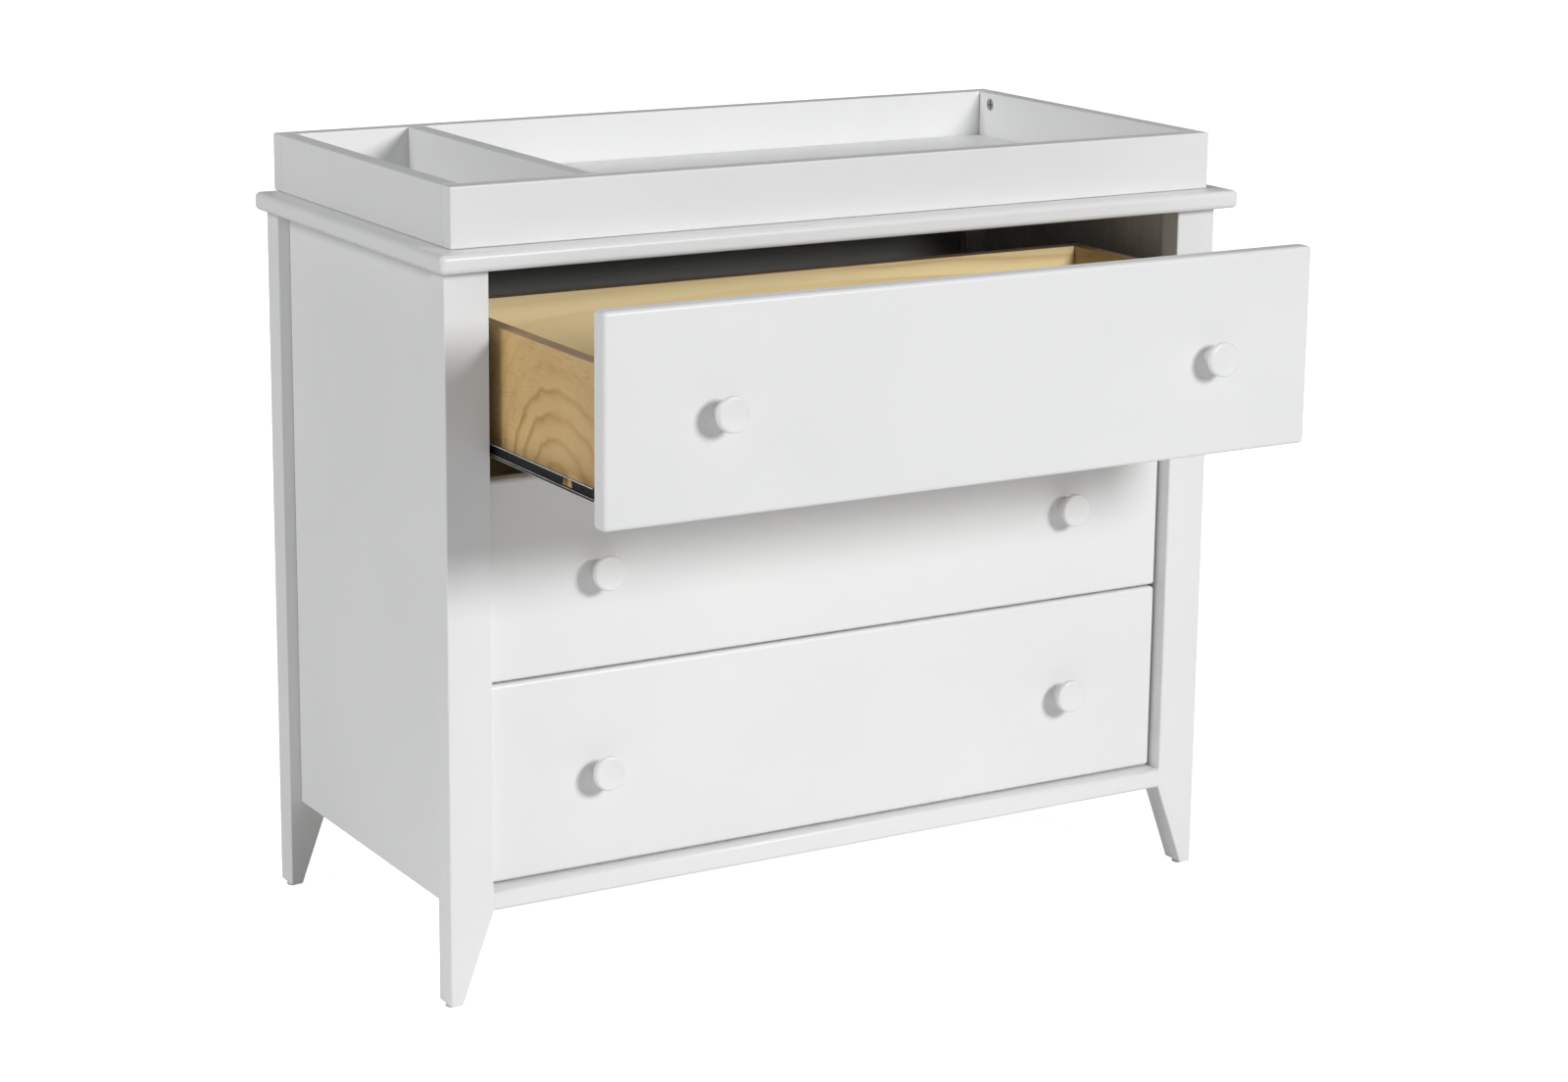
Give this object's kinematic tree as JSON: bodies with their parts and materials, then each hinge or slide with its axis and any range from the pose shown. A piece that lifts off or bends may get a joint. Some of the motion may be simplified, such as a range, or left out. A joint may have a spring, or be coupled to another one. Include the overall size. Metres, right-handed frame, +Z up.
{
  "type": "changing table",
  "caption": "Chest of drawers on tapered legs with a lift-off changing tray, side caddy compartment, round knobs and ball-bearing runners.",
  "frame": {"origin": "on the floor, under the middle of the whole object's box at rest, with the top drawer pulled out as modelled", "axes": "+X to the right as seen from the front, along the long side; -Y is the front, where the drawers come out; +Z up"},
  "size_m": [0.979, 0.72, 0.86],
  "materials": {
    "white_paint": "smooth satin white paint on board and solid wood",
    "plywood": "pale pine plywood under clear matt lacquer, darker ply edges",
    "raw_wood": "unpainted wood and hardboard",
    "black_steel": "black coated steel with bright flange edges",
    "zinc": "zinc-plated steel",
    "glide_plastic": "light grey plastic"
  },
  "bodies": {
    "carcass": {"back_panel": "white_paint", "dresser_top": "white_paint", "front_apron": "white_paint", "glide_front_left": "glide_plastic", "glide_front_right": "glide_plastic", "glide_rear_left": "glide_plastic", "glide_rear_right": "glide_plastic", "post_front_left": "white_paint", "post_front_right": "white_paint", "post_rear_left": "white_paint", "post_rear_right": "white_paint", "rear_bottom_rail": "white_paint", "side_panel_left": "white_paint", "side_panel_right": "white_paint", "slide_bottom_left_cabinet_member": "black_steel", "slide_bottom_right_cabinet_member": "black_steel", "slide_middle_left_cabinet_member": "black_steel", "slide_middle_right_cabinet_member": "black_steel", "slide_top_left_cabinet_member": "black_steel", "slide_top_right_cabinet_member": "black_steel", "top_front_rail": "raw_wood"},
    "tray": {"tray_divider": "white_paint", "tray_floor": "white_paint", "tray_front_board": "white_paint", "tray_left_board": "white_paint", "tray_rear_board": "white_paint", "tray_right_board": "white_paint"},
    "drawer_top": {"drawer_top_back": "plywood", "drawer_top_bottom": "plywood", "drawer_top_front": "white_paint", "drawer_top_left_knob": "white_paint", "drawer_top_left_side": "plywood", "drawer_top_right_knob": "white_paint", "drawer_top_right_side": "plywood", "slide_top_left_drawer_member": "black_steel", "slide_top_right_drawer_member": "black_steel"},
    "drawer_middle": {"drawer_middle_back": "plywood", "drawer_middle_bottom": "plywood", "drawer_middle_front": "white_paint", "drawer_middle_left_knob": "white_paint", "drawer_middle_left_side": "plywood", "drawer_middle_right_knob": "white_paint", "drawer_middle_right_side": "plywood", "slide_middle_left_drawer_member": "black_steel", "slide_middle_right_drawer_member": "black_steel"},
    "drawer_bottom": {"drawer_bottom_back": "plywood", "drawer_bottom_bottom": "plywood", "drawer_bottom_front": "white_paint", "drawer_bottom_left_knob": "white_paint", "drawer_bottom_left_side": "plywood", "drawer_bottom_right_knob": "white_paint", "drawer_bottom_right_side": "plywood", "slide_bottom_left_drawer_member": "black_steel", "slide_bottom_right_drawer_member": "black_steel"},
    "ball_cages_top": {"slide_top_left_ball_cage": "zinc", "slide_top_right_ball_cage": "zinc"},
    "ball_cages_middle": {"slide_middle_left_ball_cage": "zinc", "slide_middle_right_ball_cage": "zinc"},
    "ball_cages_bottom": {"slide_bottom_left_ball_cage": "zinc", "slide_bottom_right_ball_cage": "zinc"}
  },
  "joints": [
    {"name": "drawer_top_slide", "type": "slide", "parent": "carcass", "child": "drawer_top", "axis": [0, -1, 0], "range_m": [-0.255, 0.005]},
    {"name": "drawer_middle_slide", "type": "slide", "parent": "carcass", "child": "drawer_middle", "axis": [0, -1, 0], "range_m": [0, 0.26]},
    {"name": "drawer_bottom_slide", "type": "slide", "parent": "carcass", "child": "drawer_bottom", "axis": [0, -1, 0], "range_m": [0, 0.26]},
    {"name": "ball_cages_top_slide", "type": "slide", "parent": "carcass", "child": "ball_cages_top", "axis": [0, -1, 0], "range_m": [-0.1275, 0.0025]},
    {"name": "ball_cages_middle_slide", "type": "slide", "parent": "carcass", "child": "ball_cages_middle", "axis": [0, -1, 0], "range_m": [0, 0.13]},
    {"name": "ball_cages_bottom_slide", "type": "slide", "parent": "carcass", "child": "ball_cages_bottom", "axis": [0, -1, 0], "range_m": [0, 0.13]},
    {"name": "tray_lift", "type": "slide", "parent": "carcass", "child": "tray", "axis": [0, 0, 1], "range_m": [0, 0.12]}
  ],
  "couplings": [
    {"joint": "ball_cages_top_slide", "follows": "drawer_top_slide", "ratio": 0.5},
    {"joint": "ball_cages_middle_slide", "follows": "drawer_middle_slide", "ratio": 0.5},
    {"joint": "ball_cages_bottom_slide", "follows": "drawer_bottom_slide", "ratio": 0.5}
  ]
}
